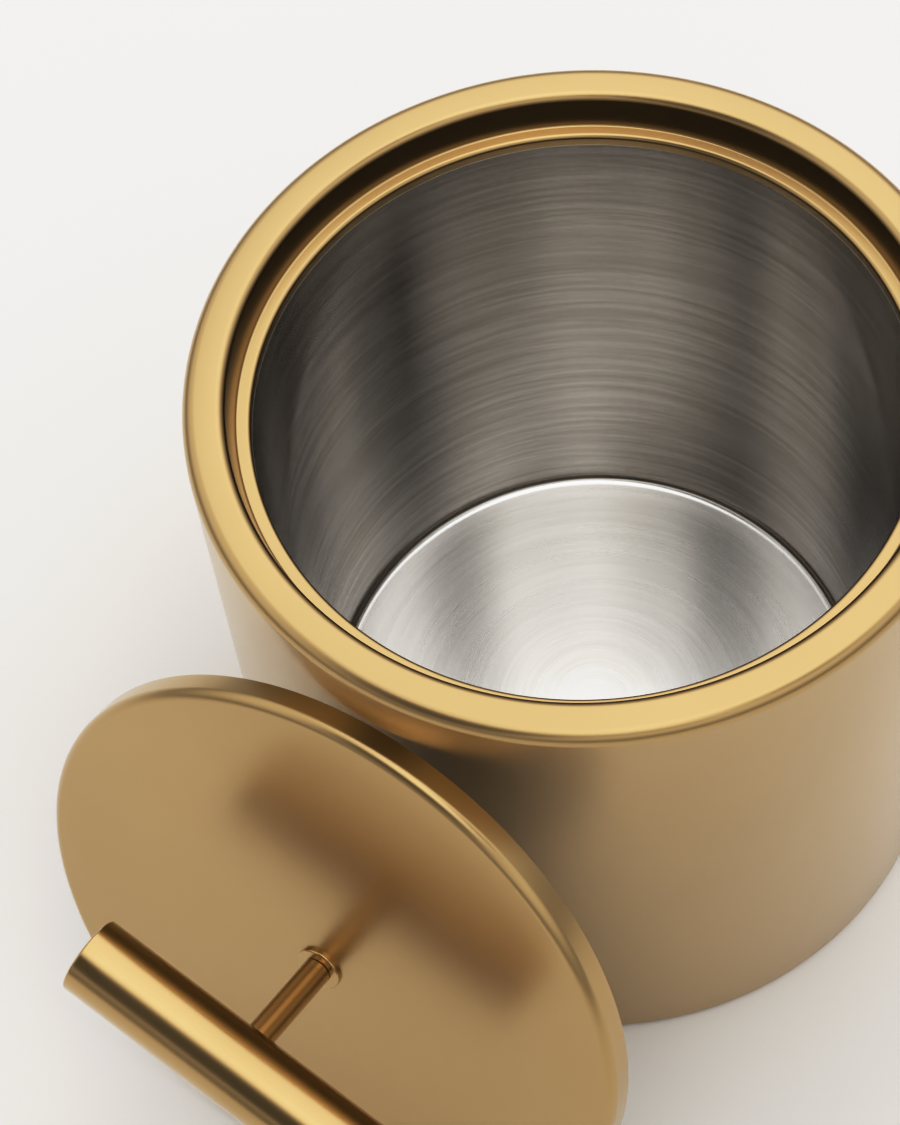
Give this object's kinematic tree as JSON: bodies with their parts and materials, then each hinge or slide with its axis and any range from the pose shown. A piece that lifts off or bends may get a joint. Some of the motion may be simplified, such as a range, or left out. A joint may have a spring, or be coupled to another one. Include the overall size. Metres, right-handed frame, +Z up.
{
  "type": "cookie tin",
  "caption": "Round double-walled metal tin, shown open, with its flat lid leaning against the wall; a T-shaped handle rises from the lid on a slim post.",
  "frame": {"origin": "on the tin's axis, at the table it stands on", "axes": "+Z up the tin's axis; -Y towards the side where the lid leans on the wall"},
  "size_m": [0.15, 0.2132, 0.1365],
  "materials": {
    "gold_steel": "satin gold, fine circular brushing",
    "gold_handle": "gold, turned and polished",
    "liner_steel": "fine circular brushing",
    "screw_steel": "plain",
    "core_board": "raw board",
    "pad": "matt, fine grain"
  },
  "bodies": {
    "tin": {"outer_shell": "gold_steel", "inner_liner": "liner_steel", "base_plate": "liner_steel", "foot_pad": "pad"},
    "bar": {"handle_bar": "gold_handle"},
    "lid": {"lid_shell": "gold_steel", "lid_core": "core_board", "lid_pan": "liner_steel", "screw_washer": "screw_steel", "handle_screw": "screw_steel", "handle_flange": "gold_handle", "handle_post": "gold_handle"}
  },
  "joints": [
    {"name": "lid_carry", "type": "hinge", "parent": "tin", "child": "bar", "pos_m": [0, -0.09704, 0.16431], "axis": [-1, 0, 0], "range_deg": [0, 251.6]},
    {"name": "lid_level", "type": "hinge", "parent": "bar", "child": "lid", "pos_m": [0, -0.12835, 0.07246], "axis": [-0.9806, 0.0618, 0.1859], "range_deg": [-180, 0]}
  ],
  "couplings": [
    {"joint": "lid_level", "follows": "lid_carry", "ratio": -0.71542}
  ]
}
